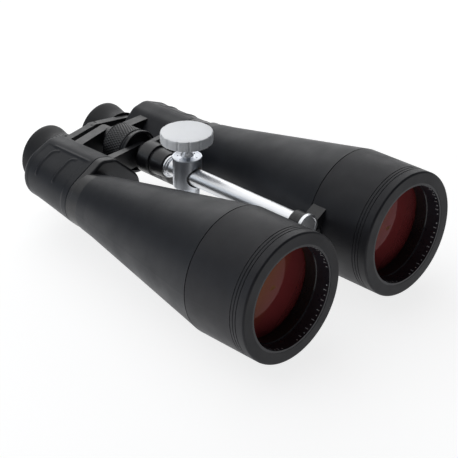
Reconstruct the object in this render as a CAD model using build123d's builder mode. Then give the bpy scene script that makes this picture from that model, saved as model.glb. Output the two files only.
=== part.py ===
"""Large astronomy binoculars, 20x80 class, with a centre focus wheel and a tripod post on a rod.

The frame stands on the floor: +Y is the direction of sight, +X the user's right, +Z up.
The origin lies on the floor under the middle of the object.  Units are millimetres.
"""
import math
import os

from build123d import *

os.makedirs("parts", exist_ok=True)

# Axes of the optics and of the hinge, as (x, z) on the right-hand side
AXIS_Z = 69.5                     # height of the hinge axis and the rod
OBJECTIVE = (68.8, 53.4)
EYEPIECE = (34.0, 49.9)
SLEEVE_RADIUS = 53.4              # the sleeves rest on the floor

# Stations along Y, from the front to the rear
FRONT_Y = 166.25
SLEEVE_REAR_Y = 105.0
CONE_REAR_Y = -52.75
COLLAR_REAR_Y = -59.75
HOUSING_FRONT_Y = -67.75
HOUSING_REAR_Y = -131.75
EYE_ARM_FRONT_Y = -133.75
EYE_ARM_REAR_Y = -140.75
REAR_Y = -166.25

# Hinge, focus and rod
ROD_RADIUS = 7.6
PIN_RADIUS = 5.0
HINGE_TUBE_RADIUS = 6.5
SPINDLE_RADIUS = 4.0
RUNNING_GAP = 0.05
KNUCKLE_RADIUS = 10.0
FRONT_ARM = (-75.75, -67.75)
REAR_ARM = (-116.75, -106.75)
KNUCKLE_BOSS_Y = -126.25
REAR_LAP_Y = -117.0
ARM_ABOVE = 10.0
ARM_BELOW = 9.0
ARM_ROOT_X = 42.0
LAP_GAP = 0.2
LAP_CLEARANCE = 0.5
PIN_REAR_Y = -85.75
FLANGE_REAR_Y = -37.75
ROD_REAR_Y = -33.75
ROD_FRONT_Y = 116.25
WHEEL = (-104.75, -76.75)

# Walls
ARMOUR = 1.6
CASTING_WALL = 2.5

# Barrel cone: outer armour radius at three stations
CONE = [(53.3, 104.6), (27.4, -39.75), (25.6, CONE_REAR_Y)]

# Lens group of the objective
LENS_RADIUS = 42.4
CELL_BORE = 42.6
LENS_EDGE_Y = 142.25

# Porro prisms: right-angled, with light in at one end of the long face and out at the other
PRISM_TURN = (53.15, 34.2)        # where the light crosses from one prism to the other
PRISM_WIDTH = 18.0
SHELF_REAR_Y = -103.75
SHELF_THICKNESS = 2.5

# Ocular
OCULAR_RADIUS = 12.95
GUIDE_RADIUS = 14.4
PLATE_RADIUS = 22.5
EYE_KNUCKLE_RADIUS = 8.0
EYECUP_RIM = 26.6

# Tripod post
POST_Y = -16.85
BLOCK_RADIUS = 12.74
BLOCK_TOP = 86.0
BLOCK_BOTTOM = 58.5
BLOCK_RIM = 0.4                   # the rim stands this proud of the body
BLOCK_RIM_HEIGHT = 1.3
BUSH_RADIUS = 9.0
KNOB_RADIUS = 22.3
KNOB_TOP = 108.6
KNOB_THICKNESS = 8.9
KNOB_LOBES = 14
KNOB_GROOVE_RADIUS = 1.5
SCREW_RADIUS = 3.0
PAD_RADIUS = 4.8
FOOT_DISC_RADIUS = 16.0
TRIPOD_THREAD_RADIUS = 3.175      # 1/4 inch
TRIPOD_THREAD_DEPTH = 10.0

BARREL_PLANE = Plane((OBJECTIVE[0], 0, OBJECTIVE[1]))
BARREL_AXIS = Axis((OBJECTIVE[0], 0, OBJECTIVE[1]), (0, 1, 0))
OCULAR_PLANE = Plane((EYEPIECE[0], 0, EYEPIECE[1]))
OCULAR_AXIS = Axis((EYEPIECE[0], 0, EYEPIECE[1]), (0, 1, 0))
HINGE_PLANE = Plane((0, 0, AXIS_Z))
HINGE_AXIS = Axis((0, 0, AXIS_Z), (0, 1, 0))
POST_AXIS = Axis((0, POST_Y, 0), (0, 0, 1))


def station(y):
    """Plane across the line of sight at y: its own y is world Z, and extrude goes to the rear."""
    return Plane.XZ.offset(-y)


def write(part, name):
    part.label = name
    export_step(part, f"parts/{name}.step")


def write_pair(part, name):
    """The right-hand piece as modelled, and its mirror image on the left."""
    write(part, "right_" + name)
    write(mirror(part, about=Plane.YZ), "left_" + name)


def turned(points, plane, axis):
    """Solid of revolution from a closed outline of (radius, y) points."""
    with BuildPart() as solid:
        with BuildSketch(plane):
            with BuildLine():
                Polyline(*points, close=True)
            make_face()
        revolve(axis=axis)
    return solid.part


def hull_sketch(circles, inset):
    """Outline of a belt round some circles, each (x, z, radius), drawn inset all round."""
    with BuildSketch() as outline:
        with BuildLine():
            for x, z, radius in circles:
                CenterArc((x, z), radius - inset, 0, 360)
        make_hull()
    return outline.sketch


# Section of the prism housing: circles for the top, the objective, the prism turn and the eyepiece
FRONT_SECTION = [(46, 73.5, 10), (54, 73, 12.3), (69, 52.5, 23.4), (53, 34.2, 15.8), (34, 49.9, 19)]
REAR_SECTION = [(46, 73.5, 9.5), (54, 72.5, 12), (63.5, 57, 22.8), (53, 36, 15), (34, 49.9, 19)]


def housing_body(inset, rear_inset):
    """Tapered prism housing, drawn inset from its armour's outer surface."""
    front = hull_sketch(FRONT_SECTION, inset)
    rear = hull_sketch(REAR_SECTION, inset)
    with BuildPart() as body:
        with BuildSketch(station(HOUSING_FRONT_Y)):
            add(front)
        with BuildSketch(station(HOUSING_REAR_Y + rear_inset)):
            add(rear)
        loft()
    return body.part


# ---------------------------------------------------------------- objective
LIP_ROUND = 1.7
HOOD_GROOVES = (152.6, 155.4, 158.2)
with BuildPart() as objective_sleeve:
    with BuildSketch(BARREL_PLANE):
        with BuildLine():
            Polyline((50.8, SLEEVE_REAR_Y), (SLEEVE_RADIUS - 0.5, SLEEVE_REAR_Y),
                     (SLEEVE_RADIUS, SLEEVE_REAR_Y + 0.5), (SLEEVE_RADIUS, FRONT_Y - LIP_ROUND))
            TangentArc((SLEEVE_RADIUS, FRONT_Y - LIP_ROUND), (SLEEVE_RADIUS - LIP_ROUND, FRONT_Y),
                       tangent=(0, 1))
            Polyline((SLEEVE_RADIUS - LIP_ROUND, FRONT_Y), (43.6, FRONT_Y), (43.6, 162.5),
                     (50.8, 162.5), (50.8, SLEEVE_REAR_Y))
        make_face()
        with Locations(*[(SLEEVE_RADIUS, y) for y in HOOD_GROOVES]):
            Rectangle(0.9, 0.8, mode=Mode.SUBTRACT)
    revolve(axis=BARREL_AXIS)
write_pair(objective_sleeve.part, "objective_sleeve")

CELL = [(50.8, 159.5), (50.8, 162.5), (43.6, 162.5), (43.6, 166.0), (41.8, 166.0), (41.0, 154.25),
        (CELL_BORE, 154.25), (CELL_BORE, 133.6), (40.2, 133.6), (40.2, 130), (50.8, 130), (50.8, 134),
        (45, 134), (45, 159.5)]
write_pair(turned(CELL, BARREL_PLANE, BARREL_AXIS), "objective_cell")

RETAINER = [(42.5, LENS_EDGE_Y), (42.5, 154.1), (40.9, 154.1), (40.4, 153.4), (40.4, 143.4),
            (40.9, LENS_EDGE_Y)]
write_pair(turned(RETAINER, BARREL_PLANE, BARREL_AXIS), "retaining_ring")


def dome_point(apex_y, edge_radius, edge_y):
    """Point halfway out on the sphere, centred on the axis, from its apex to its edge."""
    sag = apex_y - edge_y
    sphere = (edge_radius ** 2 + sag ** 2) / (2 * abs(sag))
    drop = sphere - math.sqrt(sphere ** 2 - (edge_radius / 2) ** 2)
    return (edge_radius / 2, apex_y - math.copysign(drop, sag))


def lens(front, rear, edge_radius, plane, axis):
    """Round lens; front and rear are (apex y, edge y), and equal values give a flat face."""
    with BuildPart() as solid:
        with BuildSketch(plane):
            with BuildLine():
                Line((0, rear[0]), (0, front[0]))
                for apex_y, edge_y in (front, rear):
                    if apex_y == edge_y:
                        Line((0, apex_y), (edge_radius, edge_y))
                    else:
                        halfway = dome_point(apex_y, edge_radius, edge_y)
                        ThreePointArc((0, apex_y), halfway, (edge_radius, edge_y))
                Line((edge_radius, front[1]), (edge_radius, rear[1]))
            make_face()
        revolve(axis=axis)
    return solid.part


crown_lens = lens((145.9, 141.9), (134.8, 138.9), LENS_RADIUS, BARREL_PLANE, BARREL_AXIS)
write_pair(crown_lens, "crown_lens")
flint_lens = lens((134.5, 138.6), (133.6, 133.6), LENS_RADIUS, BARREL_PLANE, BARREL_AXIS)
write_pair(flint_lens, "flint_lens")

BAFFLE_FRONT_Y = 129.5
BAFFLE_RIBS = 15
BAFFLE_PITCH = 3.2
BAFFLE_SLOPE = 0.12
baffle_points = [(43.0, BAFFLE_FRONT_Y)]
for rib in range(BAFFLE_RIBS):
    rib_y = BAFFLE_FRONT_Y - rib * BAFFLE_PITCH
    rib_radius = 39.8 - (BAFFLE_FRONT_Y - rib_y) * BAFFLE_SLOPE
    baffle_points += [(rib_radius, rib_y), (rib_radius, rib_y - 0.7), (rib_radius + 1.6, rib_y - 1.5)]
baffle_rear_y = BAFFLE_FRONT_Y - BAFFLE_RIBS * BAFFLE_PITCH
baffle_points += [(baffle_points[-1][0], baffle_rear_y), (38.0, baffle_rear_y), (42.2, 112), (48.6, 112),
                  (48.6, 115), (43.0, 115)]
write_pair(turned(baffle_points, BARREL_PLANE, BARREL_AXIS), "baffle_tube")

# ---------------------------------------------------------------- barrel
TUBE = [(22, -58), (22, CONE_REAR_Y)]
TUBE += [(radius - ARMOUR, y) for radius, y in reversed(CONE)]
TUBE += [(50.8, 104.6), (50.8, 118), (48.6, 118), (48.6, 101), (23.35, -39.75), (21.8, -51.5), (20, -53),
         (20, -58)]
write_pair(turned(TUBE, BARREL_PLANE, BARREL_AXIS), "barrel_tube")

BARREL_ARMOUR = CONE + [(radius - ARMOUR, y) for radius, y in reversed(CONE)]
write_pair(turned(BARREL_ARMOUR, BARREL_PLANE, BARREL_AXIS), "barrel_armour")

# ---------------------------------------------------------------- prism housing
armour_body = housing_body(0, 0)
casting_body = housing_body(ARMOUR, ARMOUR)
cavity_body = housing_body(ARMOUR + CASTING_WALL, ARMOUR + CASTING_WALL)


def arm_bar(knuckle, root):
    """Flat bar from its own knuckle's span along Y out to its root in the housing wall."""
    with BuildPart() as bar:
        with BuildSketch(Plane.XY.offset(AXIS_Z - ARM_BELOW)):
            with BuildLine():
                Polyline((0, knuckle[0]), (ARM_ROOT_X, root[0]), (ARM_ROOT_X, root[1]), (0, knuckle[1]),
                         close=True)
            make_face()
        extrude(amount=ARM_BELOW + ARM_ABOVE)
    return bar.part


def drum(radius, y_range, centre=(0, AXIS_Z)):
    """Cylinder along Y."""
    with BuildPart() as cylinder:
        with BuildSketch(station(y_range[1])):
            with Locations(centre):
                Circle(radius)
        extrude(amount=y_range[1] - y_range[0])
    return cylinder.part


front_lap_y = sum(FRONT_ARM) / 2
half_gap = LAP_GAP / 2
pin_bore = PIN_RADIUS + RUNNING_GAP
# Each side's knuckles, as (root span, own span, the other side's span, bore), front and rear
KNUCKLES = {
    "right": [(FRONT_ARM, (FRONT_ARM[0], front_lap_y - half_gap),
               (front_lap_y - half_gap, FRONT_ARM[1]), pin_bore),
              (REAR_ARM, (KNUCKLE_BOSS_Y, REAR_LAP_Y - half_gap), (REAR_LAP_Y - half_gap, REAR_ARM[1]),
               HINGE_TUBE_RADIUS)],
    "left": [(FRONT_ARM, (front_lap_y + half_gap, FRONT_ARM[1]),
              (FRONT_ARM[0], front_lap_y + half_gap), pin_bore),
             (REAR_ARM, (REAR_LAP_Y + half_gap, REAR_ARM[1]), (KNUCKLE_BOSS_Y, REAR_LAP_Y + half_gap),
              HINGE_TUBE_RADIUS + RUNNING_GAP)],
}


def write_side(part, side, name):
    """A piece modelled on the right, written for one side."""
    write(mirror(part, about=Plane.YZ) if side == "left" else part, f"{side}_{name}")


for side, knuckles in KNUCKLES.items():
    with BuildPart() as prism_housing:
        add(casting_body)
        for root, own, other, bore in knuckles:
            add(arm_bar(own, root))
        add(cavity_body, mode=Mode.SUBTRACT)
        for root, own, other, bore in knuckles:
            add(drum(KNUCKLE_RADIUS + LAP_CLEARANCE, other), mode=Mode.SUBTRACT)
            add(drum(KNUCKLE_RADIUS, own))
            add(drum(bore, (KNUCKLE_BOSS_Y, HOUSING_FRONT_Y)), mode=Mode.SUBTRACT)
        add(drum(GUIDE_RADIUS, (HOUSING_REAR_Y, -120), EYEPIECE), mode=Mode.SUBTRACT)
    write_side(prism_housing.part, side, "prism_housing")

PANEL_EDGE_X = 61.0
PANEL_LOW_Z = 38.0
PANEL_DEPTH = 0.8
RIB_HEIGHT = 0.6
RIB_STATIONS = (-94.0, -117.0)
panel_body = housing_body(PANEL_DEPTH, 0)
rib_body = housing_body(-RIB_HEIGHT, 0)
with BuildPart() as grip_region:
    with BuildSketch(Plane.XY.offset(PANEL_LOW_Z)):
        with Locations((PANEL_EDGE_X, -100)):
            RectangleRounded(60, 49, 5, align=(Align.MIN, Align.CENTER))
    extrude(amount=60)
with BuildPart() as rib_slabs:
    for rib_y in RIB_STATIONS:
        with BuildSketch(station(rib_y)):
            with Locations((PANEL_EDGE_X + 2, PANEL_LOW_Z + 8)):
                Rectangle(60, 60, align=(Align.MIN, Align.MIN))
        extrude(amount=2.4)
recess = grip_region.part & (armour_body - panel_body)
ribs = rib_slabs.part & (rib_body - panel_body)
for side, knuckles in KNUCKLES.items():
    with BuildPart() as housing_armour:
        add(armour_body)
        add(recess, mode=Mode.SUBTRACT)
        add(ribs)
        add(casting_body, mode=Mode.SUBTRACT)
        for root, own, other, bore in knuckles:
            add(arm_bar(own, root), mode=Mode.SUBTRACT)
        add(drum(GUIDE_RADIUS, (HOUSING_REAR_Y, -120), EYEPIECE), mode=Mode.SUBTRACT)
    write_side(housing_armour.part, side, "housing_armour")

plate = hull_sketch(FRONT_SECTION, 0)
with BuildPart() as front_cover:
    with BuildSketch(station(COLLAR_REAR_Y)):
        add(plate)
    extrude(amount=COLLAR_REAR_Y - HOUSING_FRONT_Y)
    fillet(front_cover.faces().sort_by(Axis.Y)[-1].edges(), 2.5)
    add(drum(24.6, (COLLAR_REAR_Y - 3, CONE_REAR_Y), OBJECTIVE))
    add(drum(22, (-58, CONE_REAR_Y), OBJECTIVE), mode=Mode.SUBTRACT)
    add(drum(16, (HOUSING_FRONT_Y, CONE_REAR_Y), OBJECTIVE), mode=Mode.SUBTRACT)
write_pair(front_cover.part, "front_cover")

# ---------------------------------------------------------------- prisms
shelf_front_y = SHELF_REAR_Y + SHELF_THICKNESS
with BuildPart() as prism_shelf:
    with BuildSketch(station(shelf_front_y)):
        Rectangle(300, 300)
    extrude(amount=SHELF_THICKNESS)
    add(cavity_body, mode=Mode.INTERSECT)
    with BuildSketch(station(shelf_front_y)):
        with Locations(OBJECTIVE, PRISM_TURN, EYEPIECE):
            Circle(9.6)
    extrude(amount=SHELF_THICKNESS, mode=Mode.SUBTRACT)
write_pair(prism_shelf.part, "prism_shelf")

CLIP_GAP = 0.25
CLIP_THICKNESS = 0.6
CLIP_WIDTH = 5.0
clips = []
# Rear prism turns the light from the objective's axis, front prism on to the eyepiece's axis
PRISMS = [("rear", OBJECTIVE, SHELF_REAR_Y, -1), ("front", EYEPIECE, shelf_front_y, 1)]
for name, start, base_y, direction in PRISMS:
    run = Vector(PRISM_TURN[0] - start[0], 0, PRISM_TURN[1] - start[1])
    middle = Vector((start[0] + PRISM_TURN[0]) / 2, base_y, (start[1] + PRISM_TURN[1]) / 2)
    half = (run.length + PRISM_WIDTH) / 2
    along = run.normalized()
    prism_turn = math.degrees(math.atan2(along.Z, along.X))
    side_plane = Plane(middle, x_dir=along, z_dir=(-along.Z, 0, along.X))
    with BuildPart() as prism:
        with BuildSketch(side_plane):
            with BuildLine():
                Polyline((-half, 0), (half, 0), (0, direction * half), close=True)
            make_face()
        extrude(amount=PRISM_WIDTH, both=True)
        with BuildSketch(station(0)):
            with Locations((middle.X, middle.Z)):
                SlotCenterToCenter(run.length, PRISM_WIDTH, rotation=prism_turn)
        extrude(amount=200, mode=Mode.INTERSECT)
    write_pair(prism.part, name + "_prism")
    inside = half + CLIP_GAP
    outside = inside + CLIP_THICKNESS * math.sqrt(2)
    with BuildPart() as prism_clip:
        with BuildSketch(side_plane):
            with BuildLine():
                Polyline((-inside, 0), (0, direction * inside), (inside, 0), (outside, 0),
                         (0, direction * outside), (-outside, 0), close=True)
            make_face()
        extrude(amount=CLIP_WIDTH / 2, both=True)
        with BuildSketch(station(0)):
            with Locations((middle.X, middle.Z)):
                SlotCenterToCenter(run.length, PRISM_WIDTH + 1.6, rotation=prism_turn)
        extrude(amount=200, mode=Mode.INTERSECT)
    clips.append(prism_clip.part)
write_pair(Compound(children=clips), "prism_clips")

# ---------------------------------------------------------------- oculars
ocular_bore_radius = OCULAR_RADIUS + RUNNING_GAP
GUIDE = [(ocular_bore_radius, HOUSING_REAR_Y), (GUIDE_RADIUS, HOUSING_REAR_Y), (GUIDE_RADIUS, -104.9),
         (ocular_bore_radius, -104.9)]
write_pair(turned(GUIDE, OCULAR_PLANE, OCULAR_AXIS), "guide_tube")

LENS_BORE = 11.3
OCULAR = [(OCULAR_RADIUS, -112.75), (OCULAR_RADIUS, -152.5), (LENS_BORE, -152.5), (10.6, -151.6),
          (10.6, -150.2), (LENS_BORE, -150.2), (LENS_BORE, -123.2), (10.2, -123.2), (10.2, -121.6),
          (LENS_BORE, -121.6), (LENS_BORE, -112.75)]
write_pair(turned(OCULAR, OCULAR_PLANE, OCULAR_AXIS), "ocular_tube")
field_lens = lens((-114.6, -116.4), (-121.6, -121.6), LENS_BORE, OCULAR_PLANE, OCULAR_AXIS)
write_pair(field_lens, "field_lens")
eye_lens = lens((-143.4, -145.6), (-150.2, -150.2), LENS_BORE, OCULAR_PLANE, OCULAR_AXIS)
write_pair(eye_lens, "eye_lens")

CUP_SPLIT_Y = -147.7              # on the right the dioptre ring takes the cup's first stretch
for side, base_y, base_radius in (("right", CUP_SPLIT_Y, 24.0), ("left", EYE_ARM_REAR_Y, 24.8)):
    with BuildPart() as eyecup:
        with BuildSketch(OCULAR_PLANE):
            with BuildLine():
                Line((OCULAR_RADIUS, base_y), (base_radius, base_y))
                Spline((base_radius, base_y), (23.9, -151.5), (25.4, -158.5), (EYECUP_RIM, -163.5))
                Line((EYECUP_RIM, -163.5), (EYECUP_RIM, -165.4))
                TangentArc((25.2, REAR_Y), (EYECUP_RIM, -165.4), tangent=(1, 0))
                TangentArc((25.2, REAR_Y), (23.7, -164.6), tangent=(-1, 0))
                Polyline((23.7, -164.6), (20.2, -153.6), (OCULAR_RADIUS, -153.2), (OCULAR_RADIUS, base_y))
            make_face()
        revolve(axis=OCULAR_AXIS)
    write_side(eyecup.part, side, "eyecup")

RING_TEETH = 60
with BuildPart() as dioptre_ring:
    with BuildSketch(station(EYE_ARM_REAR_Y - 0.3)):
        with Locations(EYEPIECE):
            Circle(24.6)
            Circle(OCULAR_RADIUS + 0.15, mode=Mode.SUBTRACT)
            with PolarLocations(24.9, RING_TEETH):
                Circle(0.6, mode=Mode.SUBTRACT)
    extrude(amount=5.5)
write(dioptre_ring.part, "dioptre_ring")

# Each arm leaves its knuckle level with the top and drops to the plate that holds the ocular
EYE_ARM = [(0, AXIS_Z + 7.9), (1.1, AXIS_Z + 7.9), (37.2, 72.2), EYEPIECE, (18, 50), (3.6, 62.5), (0, 62.5)]
eye_lap_y = (EYE_ARM_FRONT_Y + EYE_ARM_REAR_Y) / 2
EYE_LAPS = {"right": ((EYE_ARM_REAR_Y, eye_lap_y - half_gap), (eye_lap_y - half_gap, EYE_ARM_FRONT_Y)),
            "left": ((eye_lap_y + half_gap, EYE_ARM_FRONT_Y), (EYE_ARM_REAR_Y, eye_lap_y + half_gap))}
for side, (own, other) in EYE_LAPS.items():
    with BuildPart() as eyepiece_arm:
        with BuildSketch(station(EYE_ARM_FRONT_Y)):
            with Locations(EYEPIECE):
                Circle(PLATE_RADIUS)
            with BuildLine():
                Polyline(*EYE_ARM, close=True)
            make_face()
        extrude(amount=EYE_ARM_FRONT_Y - EYE_ARM_REAR_Y)
        add(drum(EYE_KNUCKLE_RADIUS + LAP_CLEARANCE, other), mode=Mode.SUBTRACT)
        add(drum(EYE_KNUCKLE_RADIUS, own))
        add(drum(SPINDLE_RADIUS + RUNNING_GAP, (EYE_ARM_REAR_Y, EYE_ARM_FRONT_Y)), mode=Mode.SUBTRACT)
        ocular_bore = drum(ocular_bore_radius, (EYE_ARM_REAR_Y, EYE_ARM_FRONT_Y), EYEPIECE)
        add(ocular_bore, mode=Mode.SUBTRACT)
    write_side(eyepiece_arm.part, side, "eyepiece_arm")

# ---------------------------------------------------------------- hinge, focus and rod
ROD = [(0, PIN_REAR_Y), (PIN_RADIUS, PIN_REAR_Y), (PIN_RADIUS, FLANGE_REAR_Y), (9.0, FLANGE_REAR_Y),
       (9.8, -37.0), (9.8, -35.6), (8.9, -35.4), (8.9, -34.2), (8.4, ROD_REAR_Y), (ROD_RADIUS, ROD_REAR_Y),
       (ROD_RADIUS, ROD_FRONT_Y), (4, ROD_FRONT_Y), (4, 104), (0, 103)]
write(turned(ROD, HINGE_PLANE, HINGE_AXIS), "axle_rod")

END_CAP = [(0, 105), (3.9, 105), (3.9, 116.35), (10.4, 116.35), (10.9, 116.9), (10.9, 119.7),
           (10.2, 120.45), (8.9, 120.45), (8.6, 120.0), (0, 120.0)]
write(turned(END_CAP, HINGE_PLANE, HINGE_AXIS), "rod_end_cap")

HINGE_COLLAR = [(pin_bore, HOUSING_FRONT_Y), (11.5, HOUSING_FRONT_Y), (11.5, -65.75), (13.9, -65.75),
                (14.3, -65.2), (13.7, -53.6), (13.9, -53.3), (13.9, -52.6), (13.5, -52.25),
                (pin_bore, -52.25)]
write(turned(HINGE_COLLAR, HINGE_PLANE, HINGE_AXIS), "hinge_collar")

HINGE_CAP = [(PIN_RADIUS, -51.95), (12.2, -51.95), (12.2, -51.2), (11.9, -50.8), (10.9, -38.4),
             (10.4, FLANGE_REAR_Y), (PIN_RADIUS, FLANGE_REAR_Y)]
write(turned(HINGE_CAP, HINGE_PLANE, HINGE_AXIS), "hinge_cap")

HINGE_TUBE = [(4.3, -126.5), (HINGE_TUBE_RADIUS, -126.5), (HINGE_TUBE_RADIUS, -107), (4.3, -107)]
write(turned(HINGE_TUBE, HINGE_PLANE, HINGE_AXIS), "rear_hinge_tube")

NUT_RADIUS = 7.0
WHEEL_OUTLINE = [(NUT_RADIUS, WHEEL[0]), (17.9, WHEEL[0]), (18.5, -104.1), (18.4, -83.2), (17.7, -82.9),
                 (17.7, -82.3), (18.2, -82.0), (19.2, -78.6), (19.2, -77.2), (18.8, WHEEL[1]),
                 (16.9, WHEEL[1]), (16.5, -80.5), (NUT_RADIUS + 1, -80.5), (NUT_RADIUS + 1, -76.0),
                 (pin_bore, -76.0), (pin_bore, -89.5), (NUT_RADIUS, -89.5)]
WHEEL_TEETH = 44
with BuildPart() as focus_wheel:
    add(turned(WHEEL_OUTLINE, HINGE_PLANE, HINGE_AXIS))
    with BuildSketch(station(-83.4)):
        with Locations((0, AXIS_Z)):
            with PolarLocations(18.8, WHEEL_TEETH):
                Circle(0.7)
    extrude(amount=20.6, mode=Mode.SUBTRACT)
write(focus_wheel.part, "focus_wheel")

NUT = [(SPINDLE_RADIUS + RUNNING_GAP, -104.9), (NUT_RADIUS, -104.9), (NUT_RADIUS, -90),
       (SPINDLE_RADIUS + RUNNING_GAP, -90)]
write(turned(NUT, HINGE_PLANE, HINGE_AXIS), "focus_nut")

SPINDLE = [(0, -142), (SPINDLE_RADIUS, -142), (SPINDLE_RADIUS, -133.6), (5.5, -133.6), (5.5, -132.2),
           (SPINDLE_RADIUS, -132.2), (SPINDLE_RADIUS, -88.25), (0, -88.25)]
write(turned(SPINDLE, HINGE_PLANE, HINGE_AXIS), "focus_spindle")

BRIDGE_CAP = [(0, -145.4), (4.6, -145.2), (6.2, -144.2), (6.4, -143), (6.4, -140.9),
              (SPINDLE_RADIUS, -140.9), (SPINDLE_RADIUS, -142), (0, -142)]
write(turned(BRIDGE_CAP, HINGE_PLANE, HINGE_AXIS), "bridge_cap")

# Front bridge: a ring on the rod and a rising bar to a saddle on the sleeve, one for each barrel
BRIDGE_RING_RADIUS = 10.1
BRIDGE_BAR = (106.0, 119.5)
BRIDGE_SPLIT_Y = 111.05
BRIDGE_OUTLINE = [(0, AXIS_Z - 7), (0, AXIS_Z - 3.5), (21.2, AXIS_Z + 8.2), (30, AXIS_Z + 8.2),
                  (30, AXIS_Z - 7)]
SADDLE_THICKNESS = 1.6
BRIDGE_LAPS = {"right": ((105.85, BRIDGE_SPLIT_Y - half_gap), (BRIDGE_SPLIT_Y - half_gap, ROD_FRONT_Y)),
               "left": ((BRIDGE_SPLIT_Y + half_gap, ROD_FRONT_Y), (105.85, BRIDGE_SPLIT_Y + half_gap))}
for side, (own, other) in BRIDGE_LAPS.items():
    with BuildPart() as bridge:
        with BuildSketch(station(BRIDGE_BAR[1])):
            with BuildLine():
                Polyline(*BRIDGE_OUTLINE, close=True)
            make_face()
            with Locations(OBJECTIVE):
                Circle(SLEEVE_RADIUS, mode=Mode.SUBTRACT)
        extrude(amount=BRIDGE_BAR[1] - BRIDGE_BAR[0])
        with BuildSketch(station(BRIDGE_BAR[1])):
            with Locations(OBJECTIVE):
                Circle(SLEEVE_RADIUS + SADDLE_THICKNESS)
                Circle(SLEEVE_RADIUS, mode=Mode.SUBTRACT)
            with Locations((0, AXIS_Z - 5)):
                Rectangle(50, 16, align=(Align.MIN, Align.CENTER), mode=Mode.INTERSECT)
        extrude(amount=BRIDGE_BAR[1] - BRIDGE_BAR[0])
        add(drum(BRIDGE_RING_RADIUS + LAP_CLEARANCE, other), mode=Mode.SUBTRACT)
        add(drum(11.4, (ROD_FRONT_Y, FRONT_Y)), mode=Mode.SUBTRACT)
        add(drum(BRIDGE_RING_RADIUS, own))
        add(drum(ROD_RADIUS + RUNNING_GAP, (100, FRONT_Y)), mode=Mode.SUBTRACT)
    write_side(bridge.part, side, "front_bridge")

# ---------------------------------------------------------------- tripod post
BUSH_HALF_LENGTH = 6.5            # the bush ends out of sight inside the block
SWING_ROOM = 1.7
with BuildPart() as liner_bush:
    with BuildSketch(station(POST_Y + BUSH_HALF_LENGTH)):
        with Locations((0, AXIS_Z)):
            Circle(BUSH_RADIUS)
            Circle(ROD_RADIUS + RUNNING_GAP, mode=Mode.SUBTRACT)
    extrude(amount=2 * BUSH_HALF_LENGTH)
    with BuildSketch(Plane.XY.offset(AXIS_Z)):
        with Locations((0, POST_Y)):
            Rectangle(2 * (PAD_RADIUS + SWING_ROOM), 2 * PAD_RADIUS + 0.6)
    extrude(amount=BUSH_RADIUS + 1, mode=Mode.SUBTRACT)
write(liner_bush.part, "liner_bush")

PAD_BOTTOM = AXIS_Z + ROD_RADIUS + 0.3
DISH_HOLES = 6
with BuildPart() as post_block:
    with BuildSketch(Plane.XY.offset(BLOCK_BOTTOM)):
        with Locations((0, POST_Y)):
            Circle(BLOCK_RADIUS - BLOCK_RIM)
    extrude(amount=BLOCK_TOP - BLOCK_BOTTOM)
    chamfer(post_block.faces().sort_by(Axis.Z)[0].edges(), 0.8)
    with BuildSketch(Plane.XY.offset(BLOCK_TOP - BLOCK_RIM_HEIGHT)):
        with Locations((0, POST_Y)):
            Circle(BLOCK_RADIUS)
    extrude(amount=BLOCK_RIM_HEIGHT)
    fillet(post_block.faces().sort_by(Axis.Z)[-1].edges(), 0.5)
    with BuildSketch(Plane.YZ):
        with BuildLine():
            Polyline((POST_Y, BLOCK_TOP + 1), (POST_Y + 11.6, BLOCK_TOP + 1),
                     (POST_Y + 11.2, BLOCK_TOP - 0.2), (POST_Y + 5.8, BLOCK_TOP - 1.4),
                     (POST_Y, BLOCK_TOP - 1.4), close=True)
        make_face()
    revolve(axis=POST_AXIS, mode=Mode.SUBTRACT)
    with Locations((0, POST_Y, BLOCK_TOP)):
        with PolarLocations(8.4, DISH_HOLES):
            Hole(0.7, depth=3)
    with BuildSketch(Plane.XY.offset(AXIS_Z)):
        with Locations((0, POST_Y)):
            Circle(PAD_RADIUS + 0.1)
    extrude(amount=14.0, mode=Mode.SUBTRACT)
    with BuildSketch(Plane.XY.offset(AXIS_Z)):
        with Locations((0, POST_Y)):
            Circle(SCREW_RADIUS + RUNNING_GAP)
    extrude(amount=20, mode=Mode.SUBTRACT)
    add(drum(BUSH_RADIUS + RUNNING_GAP, (POST_Y - 20, POST_Y + 20)), mode=Mode.SUBTRACT)
write(post_block.part, "post_block")

with BuildPart() as clamp_pad:
    with BuildSketch(Plane.XY.offset(PAD_BOTTOM)):
        with Locations((0, POST_Y)):
            Circle(PAD_RADIUS)
    extrude(amount=3.0)
    chamfer(clamp_pad.edges().group_by(Axis.Z)[-1], 0.5)
write(clamp_pad.part, "clamp_pad")

knob_bottom = KNOB_TOP - KNOB_THICKNESS
screw_bottom = PAD_BOTTOM + 3.05
SCREW = [(0, screw_bottom), (SCREW_RADIUS, screw_bottom), (SCREW_RADIUS, 86.4), (5.6, 86.4), (5.6, 87.2),
         (3.6, 90.2), (SCREW_RADIUS, 92), (SCREW_RADIUS, 98.4), (6.0, knob_bottom),
         (6.0, knob_bottom + 0.4), (SCREW_RADIUS, knob_bottom + 0.4), (SCREW_RADIUS, KNOB_TOP - 2),
         (0, KNOB_TOP - 2)]
with BuildPart() as clamp_screw:
    with BuildSketch(Plane((0, POST_Y, 0), x_dir=(1, 0, 0), z_dir=(0, -1, 0))):
        with BuildLine():
            Polyline(*SCREW, close=True)
        make_face()
    revolve(axis=POST_AXIS)
write(clamp_screw.part, "clamp_screw")

with BuildPart() as post_knob:
    with BuildSketch(Plane.XY.offset(knob_bottom)):
        with Locations((0, POST_Y)):
            Circle(KNOB_RADIUS)
            with PolarLocations(KNOB_RADIUS + 0.7, KNOB_LOBES):
                Circle(KNOB_GROOVE_RADIUS, mode=Mode.SUBTRACT)
    extrude(amount=KNOB_THICKNESS)
    chamfer(post_knob.edges().group_by(Axis.Z)[-1], 0.5)
    add(clamp_screw.part, mode=Mode.SUBTRACT)
write(post_knob.part, "post_knob")

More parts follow.
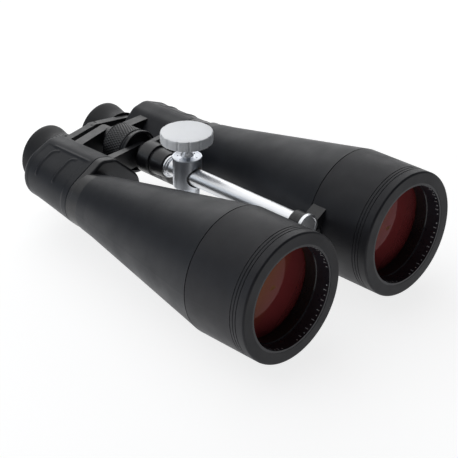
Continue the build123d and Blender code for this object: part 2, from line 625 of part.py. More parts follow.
FOOT = [(TRIPOD_THREAD_RADIUS, 0), (FOOT_DISC_RADIUS - 0.8, 0), (FOOT_DISC_RADIUS, 0.8),
        (FOOT_DISC_RADIUS, 5.2), (FOOT_DISC_RADIUS - 0.8, 6), (11.5, 6), (9.0, 9), (9.0, 46), (10.2, 49),
        (10.2, 57.5), (9.6, BLOCK_BOTTOM), (0, BLOCK_BOTTOM), (0, TRIPOD_THREAD_DEPTH),
        (TRIPOD_THREAD_RADIUS, TRIPOD_THREAD_DEPTH)]
with BuildPart() as post_foot:
    with BuildSketch(Plane((0, POST_Y, 0), x_dir=(1, 0, 0), z_dir=(0, -1, 0))):
        with BuildLine():
            Polyline(*FOOT, close=True)
        make_face()
    revolve(axis=POST_AXIS)
write(post_foot.part, "post_foot")
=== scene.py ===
import math

import bmesh
import bpy
from mathutils import Matrix, Vector


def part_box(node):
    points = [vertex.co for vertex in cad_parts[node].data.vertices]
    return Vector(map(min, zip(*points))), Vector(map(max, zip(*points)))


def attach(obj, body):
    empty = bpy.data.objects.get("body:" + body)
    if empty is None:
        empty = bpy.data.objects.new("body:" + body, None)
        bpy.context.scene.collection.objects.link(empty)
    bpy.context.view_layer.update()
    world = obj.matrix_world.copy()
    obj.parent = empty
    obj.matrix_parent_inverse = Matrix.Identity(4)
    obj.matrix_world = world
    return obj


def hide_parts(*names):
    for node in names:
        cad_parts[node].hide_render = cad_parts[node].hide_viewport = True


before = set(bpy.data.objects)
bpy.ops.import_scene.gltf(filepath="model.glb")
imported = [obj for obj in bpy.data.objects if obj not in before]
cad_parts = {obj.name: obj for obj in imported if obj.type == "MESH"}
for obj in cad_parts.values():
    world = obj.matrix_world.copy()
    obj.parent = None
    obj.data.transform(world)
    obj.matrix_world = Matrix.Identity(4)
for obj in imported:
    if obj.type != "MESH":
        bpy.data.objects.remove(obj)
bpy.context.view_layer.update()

MM = 0.001
SIDES = (("right", 1), ("left", -1))
HINGE_Z = 69.5
OBJECTIVE = (68.8, 53.4)
EYEPIECE = (34.0, 49.9)


# ---------------------------------------------------------------- node materials
class Graph:
    """A material's node tree with its Principled shader."""

    def __init__(self, name):
        self.material = bpy.data.materials.new(name)
        self.material.use_nodes = True
        self.tree = self.material.node_tree
        self.shader = self.tree.nodes["Principled BSDF"]

    def node(self, kind, inputs=None, **settings):
        made = self.tree.nodes.new(kind)
        for key, value in settings.items():
            setattr(made, key, value)
        for key, value in (inputs or {}).items():
            self.plug(made.inputs[key], value)
        return made

    def plug(self, socket, value):
        if isinstance(value, bpy.types.NodeSocket):
            self.tree.links.new(value, socket)
        else:
            socket.default_value = value

    def set(self, **values):
        for key, value in values.items():
            self.plug(self.shader.inputs[key.replace("_", " ")], value)

    def place(self, stretch=(1, 1, 1)):
        """The point on the piece, with each axis scaled by its stretch."""
        where = self.node("ShaderNodeTexCoord").outputs["Object"]
        return self.node("ShaderNodeMapping", {"Vector": where, "Scale": stretch}).outputs["Vector"]

    def noise(self, size_mm, detail=2.0, stretch=(1, 1, 1)):
        """Noise with features of about that size."""
        made = self.node("ShaderNodeTexNoise", {"Vector": self.place(stretch), "Scale": 1 / (size_mm * MM),
                                                "Detail": detail, "Roughness": 0.55})
        return made.outputs["Fac"]

    def span(self, value, low, high, to_low, to_high):
        made = self.node("ShaderNodeMapRange", {"Value": value, "From Min": low, "From Max": high,
                                                "To Min": to_low, "To Max": to_high})
        return made.outputs["Result"]

    def maths(self, operation, first, second=0.0):
        made = self.node("ShaderNodeMath", operation=operation)
        self.plug(made.inputs[0], first)
        self.plug(made.inputs[1], second)
        return made.outputs[0]

    def blend(self, share, first, second):
        """Colour from first to second as share goes from 0 to 1."""
        made = self.node("ShaderNodeMix", data_type="RGBA")
        self.plug(made.inputs[0], share)
        self.plug(made.inputs[6], (*first, 1) if isinstance(first, tuple) else first)
        self.plug(made.inputs[7], (*second, 1) if isinstance(second, tuple) else second)
        return made.outputs[2]

    def edges(self, radius_mm, low=0.02, high=0.25):
        """1 on edges sharper than that radius, 0 on flat stretches."""
        rounded = self.node("ShaderNodeBevel", {"Radius": radius_mm * MM}, samples=4).outputs[0]
        flat = self.node("ShaderNodeNewGeometry").outputs["Normal"]
        dot = self.node("ShaderNodeVectorMath", {0: rounded, 1: flat}, operation="DOT_PRODUCT")
        return self.span(self.maths("SUBTRACT", 1.0, dot.outputs["Value"]), low, high, 0.0, 1.0)

    def upward(self):
        """1 where the surface faces up, 0 where it is upright or faces down."""
        normal = self.node("ShaderNodeNewGeometry").outputs["Normal"]
        z = self.node("ShaderNodeSeparateXYZ", {"Vector": normal}).outputs["Z"]
        return self.span(z, 0.2, 1.0, 0.0, 1.0)

    def bump(self, *layers):
        """Bump from (height, strength, depth in mm) layers."""
        normal = None
        for height, strength, depth_mm in layers:
            made = self.node("ShaderNodeBump", {"Height": height, "Strength": strength,
                                                "Distance": depth_mm * MM})
            if normal is not None:
                self.plug(made.inputs["Normal"], normal)
            normal = made.outputs["Normal"]
        self.plug(self.shader.inputs["Normal"], normal)


def rubber(name, dark, light, roughness, grain_mm=0.35, grain=0.35, gloss=0.3):
    """Soft-touch armour: fine moulded grain, uneven sheen, dust on top and pale worn edges."""
    g = Graph(name)
    mottle = g.noise(14, 4.0)
    colour = g.blend(g.span(mottle, 0.3, 0.7, 0.0, 1.0), dark, light)
    speck = g.span(g.noise(0.8, 3.0), 0.62, 0.75, 0.0, 0.5)
    dust = g.maths("MULTIPLY", g.upward(), speck)
    colour = g.blend(g.maths("MULTIPLY", dust, 0.4), colour, (0.07, 0.07, 0.075))
    wear = g.maths("MULTIPLY", g.edges(0.7), g.span(g.noise(5, 3.0), 0.35, 0.65, 0.2, 0.8))
    colour = g.blend(wear, colour, (0.06, 0.06, 0.065))
    rough = g.span(g.noise(22, 3.0), 0.3, 0.7, roughness - 0.05, roughness + 0.06)
    g.set(Base_Color=colour, Roughness=rough, Specular_IOR_Level=gloss)
    g.bump((g.noise(grain_mm, 2.0), grain, 0.08), (g.noise(2.2, 2.0), 0.12, 0.10))
    return g.material


def painted(name, dark, light, roughness, grain_mm=0.25, metallic=0.0, grain=0.2):
    """Satin black finish on a casting, with rubbed edges and a faint orange peel."""
    g = Graph(name)
    colour = g.blend(g.span(g.noise(9, 3.0), 0.3, 0.7, 0.0, 1.0), dark, light)
    wear = g.maths("MULTIPLY", g.edges(0.4, 0.03, 0.3), g.span(g.noise(2.5, 4.0), 0.4, 0.6, 0.1, 0.9))
    colour = g.blend(wear, colour, (0.17, 0.17, 0.18))
    rough = g.span(g.noise(7, 3.0), 0.3, 0.7, roughness - 0.05, roughness + 0.07)
    g.set(Base_Color=colour, Roughness=rough, Metallic=metallic)
    g.bump((g.noise(grain_mm, 2.0), grain, 0.05))
    return g.material


def bright(name, dark, light, roughness, stretch, line_mm=0.25, lines=0.12, blast=0.0, painted_lit_flank=None):
    """Bare metal: turning or drawing lines along one way, smudges and small scratches.
    The last argument, if given, is painted light: a brighter, less metallic colour for the upright faces
    than for the top, standing in for the light the sides catch."""
    g = Graph(name)
    smudge = g.noise(18, 3.0)
    colour = g.blend(g.span(smudge, 0.3, 0.7, 0.0, 1.0), dark, light)
    metallic = 1.0
    # painted highlight: the upright faces get a brighter, less metallic colour than the top, as painted
    # light
    if painted_lit_flank:
        colour = g.blend(g.upward(), painted_lit_flank, colour)
        metallic = g.span(g.upward(), 0.0, 1.0, 0.1, 1.0)
    drawn = g.noise(line_mm, 3.0, stretch)
    scratch = g.span(g.noise(1.2, 5.0, stretch), 0.66, 0.72, 0.0, 0.12)
    rough = g.maths("ADD", g.span(smudge, 0.3, 0.7, roughness - 0.03, roughness + 0.07), scratch)
    g.set(Base_Color=colour, Roughness=rough, Metallic=metallic)
    layers = [(drawn, lines, 0.03)]
    if blast:
        layers.append((g.noise(0.22, 2.0), blast, 0.05))
    g.bump(*layers)
    return g.material


def lamps_pass(g, colour):
    """Lets the light of the lamps straight through the glass, tinted, to what lies behind it."""
    out = g.tree.nodes["Material Output"]
    through = g.node("ShaderNodeBsdfTransparent", {"Color": (*colour, 1)}).outputs[0]
    lamp_ray = g.node("ShaderNodeLightPath").outputs["Is Shadow Ray"]
    mixed = g.node("ShaderNodeMixShader", {0: lamp_ray, 1: g.shader.outputs[0], 2: through})
    g.plug(out.inputs["Surface"], mixed.outputs[0])


def coated_lens(name, near, far, near_tint, far_tint, turn_low, turn_high, clear, gloss):
    """Coated glass whose colour turns from near to far as its surface turns away from the eye."""
    g = Graph(name)
    facing = g.node("ShaderNodeLayerWeight", {"Blend": 0.5}).outputs["Facing"]
    share = g.span(facing, turn_low, turn_high, 0.0, 1.0)
    smear = g.span(g.noise(16, 4.0), 0.35, 0.75, 0.02, 0.06)
    g.set(Base_Color=g.blend(share, near, far), Specular_Tint=g.blend(share, near_tint, far_tint),
          Roughness=smear, IOR=1.45, Specular_IOR_Level=gloss, Transmission_Weight=clear)
    lamps_pass(g, far)
    return g.material


def clear_glass(name, colour):
    """Uncoated optical glass with a faint uneven haze."""
    g = Graph(name)
    g.set(Base_Color=(*colour, 1), Roughness=g.span(g.noise(12, 3.0), 0.3, 0.8, 0.003, 0.03), IOR=1.55,
          Transmission_Weight=1.0)
    lamps_pass(g, colour)
    return g.material


def paint_mark(name, colour):
    """Printed marks, a little worn."""
    g = Graph(name)
    worn = g.blend(g.span(g.noise(0.6, 3.0), 0.35, 0.6, 0.0, 1.0), colour, tuple(c * 0.75 for c in colour))
    g.set(Base_Color=worn, Roughness=g.span(g.noise(1.5), 0.3, 0.7, 0.35, 0.55))
    g.bump((g.noise(0.3), 0.2, 0.03))
    return g.material


armour = rubber("armour_rubber", (0.0085, 0.0100, 0.0140), (0.0125, 0.0140, 0.0190), 0.46)
hood_rubber = rubber("hood_rubber", (0.0135, 0.0135, 0.0170), (0.0180, 0.0180, 0.0225), 0.47)
cup_rubber = rubber("eyecup_rubber", (0.0110, 0.0110, 0.0130), (0.0150, 0.0150, 0.0175), 0.50, 0.3, 0.25)
black_casting = painted("black_casting", (0.008, 0.008, 0.010), (0.013, 0.013, 0.015), 0.36)
black_gloss = painted("black_anodised", (0.010, 0.010, 0.013), (0.016, 0.016, 0.020), 0.16, 0.5, 0.0, 0.05)
black_ring = painted("black_satin_ring", (0.014, 0.015, 0.020), (0.022, 0.023, 0.030), 0.30, 0.3, 0.0, 0.1)
inside_black = painted("inside_black", (0.020, 0.019, 0.019), (0.030, 0.029, 0.029), 0.35)
black_plastic = painted("black_plastic", (0.009, 0.009, 0.011), (0.014, 0.014, 0.016), 0.33, 0.3)
grey_arm = painted("arm_satin", (0.012, 0.012, 0.014), (0.018, 0.018, 0.020), 0.36, 0.3)
rod_bright = bright("polished_rod", (0.80, 0.81, 0.83), (0.87, 0.88, 0.90), 0.36, (1, 0.03, 1), 0.3, 0.06)
rod_turned = bright("turned_bright", (0.82, 0.83, 0.85), (0.90, 0.91, 0.93), 0.36, (0.05, 1, 0.05), 0.2,
                    0.10)
post_satin = bright("post_satin", (0.72, 0.75, 0.80), (0.80, 0.83, 0.88), 0.36, (1, 1, 0.08), 0.3, 0.10)
# the knob carries a painted highlight: its upright faces are painted brighter than its darker top
knob_blasted_painted_lit_sides = bright("knob_blasted_painted_lit_sides", (0.56, 0.57, 0.58), (0.62, 0.63, 0.65), 0.46, (1, 1, 1), 0.5,
                      0.02, 0.35, (0.93, 0.94, 0.96))
steel = bright("bright_steel", (0.55, 0.56, 0.58), (0.68, 0.69, 0.71), 0.2, (1, 1, 0.1), 0.2, 0.1)
bronze = bright("dark_bronze", (0.05, 0.04, 0.03), (0.09, 0.07, 0.05), 0.35, (0.1, 1, 0.1), 0.25, 0.12)
brass = bright("turned_brass", (0.62, 0.42, 0.17), (0.75, 0.55, 0.26), 0.28, (0.1, 1, 0.1), 0.25, 0.12)
ruby = coated_lens("ruby_lens", (0.340, 0.130, 0.045), (0.260, 0.040, 0.043), (1.0, 0.50, 0.18),
                   (1.0, 0.20, 0.22), 0.33, 0.46, 0.45, 0.10)
amber = coated_lens("eye_lens_coat", (0.30, 0.20, 0.34), (0.45, 0.36, 0.24), (0.8, 0.5, 0.9),
                    (0.9, 0.8, 0.5), 0.2, 0.8, 0.8, 0.3)
optical = clear_glass("optical_glass", (0.90, 0.95, 0.93))
white_mark = paint_mark("white_mark", (0.72, 0.73, 0.75))

LOOKS = [
    (armour, ["barrel_armour", "housing_armour"]),
    (hood_rubber, ["objective_sleeve"]),
    (cup_rubber, ["eyecup"]),
    (black_casting, ["front_cover", "front_bridge"]),
    (grey_arm, ["prism_housing", "eyepiece_arm"]),
    (black_gloss, ["retaining_ring"]),
    (black_ring, ["objective_cell", "ocular_tube"]),
    (inside_black, ["baffle_tube", "barrel_tube", "prism_shelf", "guide_tube"]),
    (black_plastic, ["hinge_cap", "hinge_collar", "focus_wheel", "bridge_cap", "dioptre_ring"]),
    (ruby, ["crown_lens"]),
    (amber, ["eye_lens"]),
    (optical, ["flint_lens", "field_lens", "front_prism", "rear_prism"]),
    (rod_bright, ["axle_rod"]),
    (rod_turned, ["rod_end_cap", "clamp_screw"]),
    (post_satin, ["post_block", "post_foot"]),
    (knob_blasted_painted_lit_sides, ["post_knob"]),
    (steel, ["prism_clips", "rear_hinge_tube", "focus_spindle"]),
    (brass, ["focus_nut", "clamp_pad"]),
    (bronze, ["liner_bush"]),
]
MATERIALS = {kind: material for material, kinds in LOOKS for kind in kinds}
for node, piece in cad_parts.items():
    kind = node.split("_", 1)[1] if node.startswith(("left_", "right_")) else node
    piece.data.materials.clear()
    piece.data.materials.append(MATERIALS[kind])


# ---------------------------------------------------------------- shapes
def smooth(value, low, high):
    """0 below low, 1 above high, and smooth between."""
    t = min(1.0, max(0.0, (value - low) / (high - low)))
    return t * t * (3 - 2 * t)


def make_piece(name, verts, faces, material, body, replaces=(), mirrored=False, sharp=40):
    """A mesh piece from points in mm, which rides on body; mirrored makes the left-hand twin."""
    sign = -1 if mirrored else 1
    mesh = bpy.data.meshes.new(name)
    mesh.from_pydata([(sign * x * MM, y * MM, z * MM) for x, y, z in verts], [],
                     [tuple(reversed(f)) if mirrored else f for f in faces])
    shape = bmesh.new()
    shape.from_mesh(mesh)
    bmesh.ops.recalc_face_normals(shape, faces=shape.faces)
    for face in shape.faces:
        face.smooth = True
    for edge in shape.edges:
        edge.smooth = len(edge.link_faces) == 2 and edge.calc_face_angle() < math.radians(sharp)
    shape.to_mesh(mesh)
    shape.free()
    piece = bpy.data.objects.new(name, mesh)
    bpy.context.scene.collection.objects.link(piece)
    piece.data.materials.append(material)
    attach(piece, body)
    if replaces:
        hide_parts(*replaces)
    return piece


def lathe(profile, segments, centre, along, relief=None):
    """Points and faces of a turned solid. profile is a path of (radius, position) from axis to axis,
    or a closed loop where it never meets the axis; along is "y" or "z"; relief adds to the radius."""
    verts, rings = [], []
    for step, (radius, position) in enumerate(profile):
        if radius == 0:
            rings.append([len(verts)] * segments)
            verts.append(turned_point(0, 0, position, centre, along))
            continue
        ring = []
        for k in range(segments):
            angle = 2 * math.pi * k / segments
            extra = relief(angle, step, position) if relief else 0
            ring.append(len(verts))
            verts.append(turned_point(radius + extra, angle, position, centre, along))
        rings.append(ring)
    closed = profile[0][0] > 0
    faces = []
    for i in range(len(rings) if closed else len(rings) - 1):
        a, b = rings[i], rings[(i + 1) % len(rings)]
        for k in range(segments):
            n = (k + 1) % segments
            quad = []
            for corner in (a[k], a[n], b[n], b[k]):
                if corner not in quad:
                    quad.append(corner)
            faces.append(tuple(quad))
    return verts, faces


def turned_point(radius, angle, position, centre, along):
    a, b = radius * math.cos(angle), radius * math.sin(angle)
    if along == "y":
        return (centre[0] + a, position, centre[1] + b)
    return (centre[0] + a, centre[1] + b, position)


def mm_box(node):
    low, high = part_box(node)
    return low / MM, high / MM


# Focus wheel with a diamond knurl
wheel_low, wheel_high = mm_box("focus_wheel")
KNURL_ROWS = 46
KNURL_DEPTH = 0.55
KNURL_PITCH = 2.3
KNURL_FADE = 0.5
wheel_rear = wheel_low.y
knurl_rear, knurl_front = wheel_rear + 0.8, wheel_rear + 21.3
STEPS = 62
wheel_profile = [(7.05, wheel_rear), (17.9, wheel_rear), (18.1, wheel_rear + 0.25)]
knurl_start = len(wheel_profile)
wheel_profile += [(18.5, knurl_rear + (knurl_front - knurl_rear) * k / (STEPS - 1)) for k in range(STEPS)]
knurl_end = len(wheel_profile)
wheel_profile += [(17.9, wheel_rear + 21.6), (17.7, wheel_rear + 21.9), (17.7, wheel_rear + 22.4),
                  (18.2, wheel_rear + 22.9), (18.7, wheel_rear + 24.4), (19.1, wheel_rear + 25.9),
                  (19.2, wheel_rear + 26.8), (19.2, wheel_rear + 27.4), (18.9, wheel_rear + 27.95),
                  (17.1, wheel_rear + 28.0), (16.8, wheel_rear + 27.7), (16.5, wheel_rear + 24.3),
                  (8.2, wheel_rear + 24.25), (8.0, wheel_rear + 24.4), (8.0, wheel_high.y),
                  (5.1, wheel_high.y), (5.1, wheel_rear + 15.3), (7.05, wheel_rear + 15.2)]


def knurl(angle, step, position):
    """Two crossing sets of spiral grooves over the knurled stretch."""
    if not knurl_start <= step < knurl_end:
        return 0
    turn = KNURL_ROWS * angle
    along = 2 * math.pi * (position - knurl_rear) / KNURL_PITCH
    height = min(math.cos(turn + along / 2), math.cos(turn - along / 2))
    fade = smooth(position, knurl_rear, knurl_rear + KNURL_FADE)
    fade *= 1 - smooth(position, knurl_front - KNURL_FADE, knurl_front)
    return -KNURL_DEPTH * (0.5 - 0.5 * height) * fade


verts, faces = lathe(wheel_profile, 368, (0, HINGE_Z), "y", knurl)
make_piece("focus_wheel_knurled", verts, faces, black_plastic, "focus_wheel_body",
           ["focus_wheel"])

# Knob: plain top, scalloped rim with fine upright ribs
knob_low, knob_high = mm_box("post_knob")
KNOB_RADIUS = 22.3
LOBES = 14
GROOVE_HALF_WIDTH = 1.35
GROOVE_DEPTH = 0.85
RIBS = 112
RIB_DEPTH = 0.22
EDGE_SHARE = 0.55                 # how much of the flutes shows on the knob's two rounded edges
post_y = (knob_low.y + knob_high.y) / 2
top, bottom = knob_high.z, knob_low.z
knob_profile = [(0, top), (14, top), (21.2, top), (21.7, top - 0.1), (22.1, top - 0.35),
                (KNOB_RADIUS, top - 0.8)]
rim_start = len(knob_profile) - 1
knob_profile += [(KNOB_RADIUS, top - 1.6), (KNOB_RADIUS, top - 4.4), (KNOB_RADIUS, bottom + 1.2),
                 (KNOB_RADIUS, bottom + 0.6)]
rim_end = len(knob_profile)
knob_profile += [(22.0, bottom + 0.15), (21.5, bottom), (12, bottom), (6.1, bottom), (6.1, bottom + 0.45),
                 (3.1, bottom + 0.45), (3.1, top - 1.95), (0, top - 1.95)]


def flutes(angle, step, position):
    """Narrow grooves at even steps round the rim, with fine upright ribs between them."""
    if step < rim_start - 2 or step > rim_end:
        return 0
    share = 1.0 if rim_start < step < rim_end - 1 else EDGE_SHARE
    pitch = 2 * math.pi / LOBES
    away = abs((angle + pitch / 2) % pitch - pitch / 2) * KNOB_RADIUS
    groove = GROOVE_DEPTH * max(0.0, 1 - (away / GROOVE_HALF_WIDTH) ** 2)
    rib = RIB_DEPTH * (0.5 - 0.5 * math.cos(RIBS * angle)) if away > GROOVE_HALF_WIDTH + 0.15 else 0.0
    return -share * (groove + rib)


verts, faces = lathe(knob_profile, 1008, (0, post_y), "z", flutes)
make_piece("post_knob_fluted", verts, faces, knob_blasted_painted_lit_sides, "clamp_knob", ["post_knob"])

# Prism housing armour: a sleeve over the casting, with a sunk finger panel and two hooked ribs
FRONT_SECTION = [(46, 73.5, 10), (54, 73, 12.3), (69, 52.5, 23.4), (53, 34.2, 15.8), (34, 49.9, 19)]
REAR_SECTION = [(46, 73.5, 9.5), (54, 72.5, 12), (63.5, 57, 22.8), (53, 36, 15), (34, 49.9, 19)]
housing_low, housing_high = mm_box("right_housing_armour")
FRONT_Y, REAR_Y = housing_high.y, housing_low.y
AROUND = 300
REAR_ROUND = 4.4
FRONT_ROUND = 0.8
FRONT_GAP = 0.04                  # keeps the sleeve just behind the front of its CAD box
WALL = 1.55
HOLE_RADIUS = 14.42


def belt(circles, inset, count):
    """Points spaced evenly round the belt over the circles, from its left-most point, anticlockwise."""
    path = []
    for k in range(1441):
        angle = math.pi + 2 * math.pi * k / 1440
        c, s = math.cos(angle), math.sin(angle)
        best = max(circles, key=lambda circle: circle[0] * c + circle[1] * s + circle[2])
        point = (best[0] + (best[2] - inset) * c, best[1] + (best[2] - inset) * s)
        path.append(point)
    lengths = [0.0]
    for a, b in zip(path, path[1:]):
        lengths.append(lengths[-1] + math.dist(a, b))
    out, at = [], 0
    for k in range(count):
        want = lengths[-1] * k / count
        while lengths[at + 1] < want:
            at += 1
        step = lengths[at + 1] - lengths[at]
        t = (want - lengths[at]) / step if step else 0
        out.append(tuple(p + (q - p) * t for p, q in zip(path[at], path[at + 1])))
    return out


def section(y, inset):
    """Outline of the housing at y, that far inside its skin."""
    t = (y - FRONT_Y) / (REAR_Y - FRONT_Y)
    front, rear = belt(FRONT_SECTION, inset, AROUND), belt(REAR_SECTION, inset, AROUND)
    return [(a[0] + (b[0] - a[0]) * t, a[1] + (b[1] - a[1]) * t) for a, b in zip(front, rear)]


PANEL_X = 61.0
PANEL_LOW_Z = 37.0
RIDGE_LOW_Z = 66.0
PANEL_Y = (-124.8, -75.6)
PANEL_DEPTH = 0.35
RIDGE_Y = (-117.0, -71.0)
RIDGE_HEIGHT = 0.7
RIB_Y = (-91.0, -114.0)
HOOK = 5.5
RIB_TOP = 3.0
RIB_END = 30.0
RIB_HEIGHT = 0.85
RIB_HALF_WIDTH = 1.5


def rib_distance(y, down, rib_y):
    """Distance from a hooked rib's centre line, with down measured along the skin from the ridge."""
    top = RIB_TOP
    if down > top + HOOK:
        return math.hypot(y - rib_y, max(0.0, down - RIB_END))
    angle = math.atan2(top + HOOK - down, rib_y + HOOK - y)
    if angle > math.radians(85):
        end = (rib_y + HOOK, top)
        return math.hypot(y - end[0], down - end[1])
    return abs(math.hypot(y - rib_y - HOOK, down - top - HOOK) - HOOK)


def armour_relief(x, y, z, down):
    """How far the skin stands out: the sunk panel, the hooked ribs and the ridge above them."""
    panel = smooth(x, PANEL_X - 0.5, PANEL_X + 0.7) * smooth(z, PANEL_LOW_Z - 1, PANEL_LOW_Z + 1)
    panel *= smooth(y, PANEL_Y[0] - 0.7, PANEL_Y[0] + 0.7)
    panel *= 1 - smooth(y, PANEL_Y[1] - 0.7, PANEL_Y[1] + 0.7)
    raised = 0.0
    for rib_y in RIB_Y:
        away = rib_distance(y, down, rib_y) / RIB_HALF_WIDTH
        height = RIB_HEIGHT * max(0.0, 1 - away * away)
        raised = max(raised, height * smooth(z, PANEL_LOW_Z + 2, PANEL_LOW_Z + 9))
    ridge = RIDGE_HEIGHT * math.exp(-((x - PANEL_X + 0.2) / 1.0) ** 2) * smooth(z, 70, 76)
    ridge *= smooth(y, RIDGE_Y[0] - 2, RIDGE_Y[0] + 3) * (1 - smooth(y, RIDGE_Y[1] - 3, RIDGE_Y[1] + 2))
    return -PANEL_DEPTH * panel + (raised if x > PANEL_X - 1 else 0.0) + ridge


def armour_rings():
    """The closed loop of rings that makes the sleeve: outside, rear face, hole, inside."""
    rings = []
    for k in range(5):
        a = math.pi / 2 * k / 4
        inset = FRONT_ROUND * (1 - math.sin(a))
        rings.append((FRONT_Y - FRONT_GAP - FRONT_ROUND + inset, inset, True))
    start, end = FRONT_Y - FRONT_GAP - FRONT_ROUND, REAR_Y + REAR_ROUND
    count = 78
    rings += [(start + (end - start) * k / count, 0.0, True) for k in range(1, count)]
    for k in range(9):
        a = math.pi / 2 * k / 8
        rings.append((end - REAR_ROUND * math.sin(a), REAR_ROUND * (1 - math.cos(a)), False))
    return rings


def housing_sleeve():
    """Points and faces of the right-hand armour sleeve, with the hole for the ocular in its rear."""
    verts, rows = [], []
    for y, inset, shaped in armour_rings():
        outline = section(y, inset)
        # the lengths down the skin start at the ridge, where the outline passes PANEL_X on top
        above = [k for k in range(AROUND) if outline[k][1] > RIDGE_LOW_Z]
        ridge = min(above, key=lambda k: abs(outline[k][0] - PANEL_X))
        step = math.dist(outline[0], outline[1])
        row = []
        for k, (x, z) in enumerate(outline):
            before, after = outline[k - 1], outline[(k + 1) % AROUND]
            tx, tz = after[0] - before[0], after[1] - before[1]
            size = math.hypot(tx, tz) or 1
            out = armour_relief(x, y, z, (ridge - k) * step) if shaped else 0.0
            row.append(len(verts))
            verts.append((x + out * tz / size, y, z - out * tx / size))
        rows.append(row)
    rim = section(REAR_Y + REAR_ROUND, REAR_ROUND)
    angles = [math.atan2(z - EYEPIECE[1], x - EYEPIECE[0]) for x, z in rim]
    hole = [(EYEPIECE[0] + HOLE_RADIUS * math.cos(a), EYEPIECE[1] + HOLE_RADIUS * math.sin(a))
            for a in angles]
    inner = section(REAR_Y + WALL, WALL)
    faces_of_rear = ((REAR_Y, rim, (0.25, 0.5, 0.75, 1.0)), (REAR_Y + WALL, inner, (1.0, 0.5, 0.0)))
    for y, outline, shares in faces_of_rear:
        for share in shares:
            row = []
            for (x, z), (hx, hz) in zip(outline, hole):
                row.append(len(verts))
                verts.append((x + (hx - x) * share, y, z + (hz - z) * share))
            rows.append(row)
    for k in range(1, 9):
        y = REAR_Y + WALL + (FRONT_Y - FRONT_GAP - REAR_Y - WALL) * k / 8
        row = []
        for x, z in section(y, WALL):
            row.append(len(verts))
            verts.append((x, y, z))
        rows.append(row)
    faces = []
    for i, row in enumerate(rows):
        other = rows[(i + 1) % len(rows)]
        for k in range(AROUND):
            n = (k + 1) % AROUND
            faces.append((row[k], row[n], other[n], other[k]))
    return verts, faces


sleeve_verts, sleeve_faces = housing_sleeve()
for side, sign in SIDES:
    make_piece(side + "_housing_sleeve", sleeve_verts, sleeve_faces, armour, side + "_half",
               [side + "_housing_armour"], sign < 0, 60)

# Index marks on the name ring, in place of lettering
cell_low, cell_high = mm_box("right_objective_cell")
RING_FRONT = cell_high.y
RING_RADIUS = 41.8
RING_TAPER = 0.8 / 11.75
MARKS = 62
MARK_PERIOD = 16                  # the last three of each period are left out
MARK_SETBACK = 1.5
DOT = (0.42, 1.1)                 # half width and length
BAR = (0.30, 2.6)
SINK, STAND = 0.05, 0.16
BOX_FACES = ((0, 1, 3, 2), (4, 6, 7, 5), (0, 4, 5, 1), (2, 3, 7, 6), (1, 5, 7, 3), (0, 2, 6, 4))
mark_verts, mark_faces = [], []
for k in range(MARKS):
    if k % MARK_PERIOD >= MARK_PERIOD - 3:
        continue
    angle = 2 * math.pi * (k + 0.5) / MARKS
    half, length = DOT if k % 2 == 0 else BAR
    front = RING_FRONT - MARK_SETBACK
    base = len(mark_verts)
    for y in (front - length, front):
        wall = RING_RADIUS - (RING_FRONT - y) * RING_TAPER
        for turn in (-half, half):
            for lift in (-SINK, STAND):
                a = angle + turn / wall
                r = wall - lift
                mark_verts.append((OBJECTIVE[0] + r * math.cos(a), y, OBJECTIVE[1] + r * math.sin(a)))
    for quad in BOX_FACES:
        mark_faces.append(tuple(base + q for q in quad))
for side, sign in SIDES:
    make_piece(side + "_ring_marks", mark_verts, mark_faces, white_mark, side + "_half", (),
               sign < 0, 30)

# ---------------------------------------------------------------- floor, lights and camera
floor_mesh = bpy.data.meshes.new("floor")
FLOOR = 9.0
floor_mesh.from_pydata([(-FLOOR, -FLOOR, 0), (FLOOR, -FLOOR, 0), (FLOOR, FLOOR, 0), (-FLOOR, FLOOR, 0)], [],
                       [(0, 1, 2, 3)])
floor = bpy.data.objects.new("floor", floor_mesh)
floor.location.z = -0.0003
bpy.context.scene.collection.objects.link(floor)
# Straight from the camera the paper shows its plain tone; as a light it is brighter at the rear
PAPER_TONE = 0.80
PAPER_LIGHT = (0.95, 0.50)
PAPER_TURN = (0.05, 0.25)
paper = Graph("floor_paper")
paper.set(Base_Color=paper.blend(paper.noise(400, 2.0), (0.38, 0.38, 0.38), (0.41, 0.41, 0.41)),
          Roughness=0.9, Specular_IOR_Level=0.1, Emission_Color=(1, 1, 1, 1))
seen_directly = paper.node("ShaderNodeLightPath").outputs["Is Camera Ray"]
forward = paper.node("ShaderNodeSeparateXYZ", {"Vector": paper.place()}).outputs["Y"]
light = paper.span(forward, *PAPER_TURN, *PAPER_LIGHT)
paper.set(Emission_Strength=paper.span(seen_directly, 0.0, 1.0, light, PAPER_TONE))
floor.data.materials.append(paper.material)

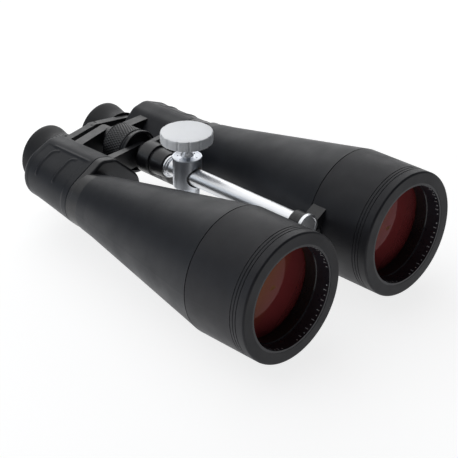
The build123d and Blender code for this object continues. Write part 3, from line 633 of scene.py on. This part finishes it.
world = bpy.data.worlds.new("studio")
bpy.context.scene.world = world
world.use_nodes = True
tree = world.node_tree
tree.nodes.clear()
seen = tree.nodes.new("ShaderNodeBackground")
seen.inputs["Color"].default_value = (1, 1, 1, 1)
lit = tree.nodes.new("ShaderNodeBackground")
lit.inputs["Color"].default_value = (0.85, 0.92, 1.0, 1)
lit.inputs["Strength"].default_value = 0.10
pick = tree.nodes.new("ShaderNodeMixShader")
out = tree.nodes.new("ShaderNodeOutputWorld")
tree.links.new(tree.nodes.new("ShaderNodeLightPath").outputs["Is Camera Ray"], pick.inputs[0])
tree.links.new(lit.outputs[0], pick.inputs[1])
tree.links.new(seen.outputs[0], pick.inputs[2])
tree.links.new(pick.outputs[0], out.inputs["Surface"])


def softbox(name, location, target, width, height, radiance, colour=(1, 1, 1)):
    data = bpy.data.lights.new(name, "AREA")
    data.shape = "RECTANGLE"
    data.size, data.size_y = width, height
    data.energy = math.pi * width * height * radiance
    data.color = colour
    lamp = bpy.data.objects.new(name, data)
    lamp.location = location
    lamp.rotation_euler = (Vector(target) - Vector(location)).to_track_quat("-Z", "Y").to_euler()
    bpy.context.scene.collection.objects.link(lamp)


softbox("overhead", (0.1, -0.9, 1.7), (0, 0, 0), 3.0, 2.0, 1.1)
softbox("behind", (-1.5, -1.5, 0.95), (0, 0, 0.05), 2.6, 1.3, 1.5)
softbox("side", (2.2, -1.3, 0.8), (0, 0, 0.05), 2.0, 1.2, 1.0, (0.85, 0.92, 1.0))

CAMERA = Vector((0.7636, 0.7830, 0.6251))
TARGET = Vector((0.1090, 0.1394, 0.1189))
camera_data = bpy.data.cameras.new("camera")
camera_data.sensor_width = 36
camera_data.lens = 114.93
camera = bpy.data.objects.new("camera", camera_data)
roll = Matrix.Rotation(math.radians(-0.21), 4, "Z")
aim = (TARGET - CAMERA).to_track_quat("-Z", "Y").to_matrix().to_4x4()
camera.matrix_world = Matrix.Translation(CAMERA) @ aim @ roll
bpy.context.scene.collection.objects.link(camera)
bpy.context.scene.camera = camera
bpy.context.scene.view_settings.view_transform = "Standard"
